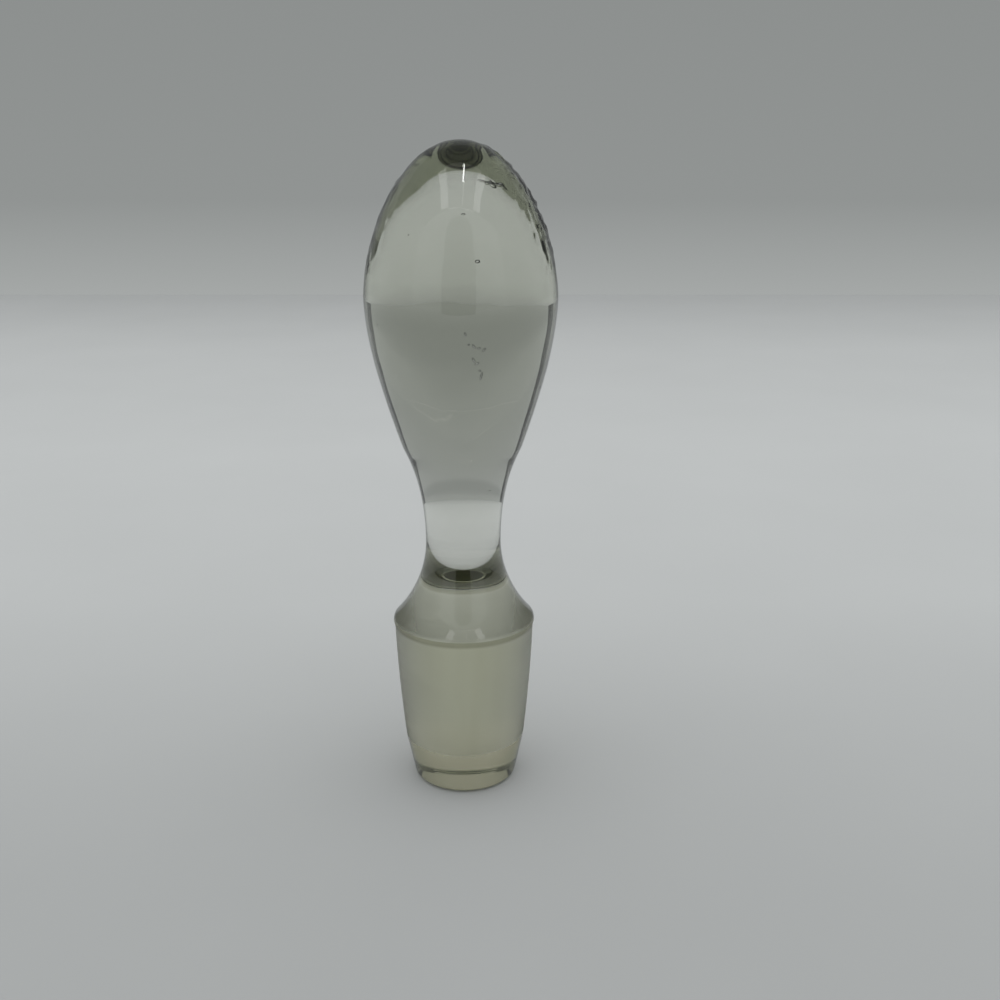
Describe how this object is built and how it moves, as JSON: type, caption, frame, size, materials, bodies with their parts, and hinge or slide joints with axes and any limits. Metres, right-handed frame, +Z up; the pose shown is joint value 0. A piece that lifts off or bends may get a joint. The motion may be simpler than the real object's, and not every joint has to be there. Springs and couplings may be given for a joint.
{
  "type": "glass stopper",
  "caption": "Solid clear glass bottle stopper: egg-shaped finial, waisted neck, rounded shoulder and a tapered ground plug with a flat foot.",
  "frame": {"origin": "centre of the plug's flat foot, on the surface that the stopper stands on", "axes": "+Z up along the stopper's axis of revolution, from the plug's foot to the tip of the finial; X and Y are equal because the stopper is round"},
  "size_m": [0.0324, 0.0324, 0.113],
  "materials": {
    "clear_glass": "fire-polished, ground matt on the plug"
  },
  "bodies": {
    "root": {"stopper": "clear_glass"}
  },
  "joints": []
}
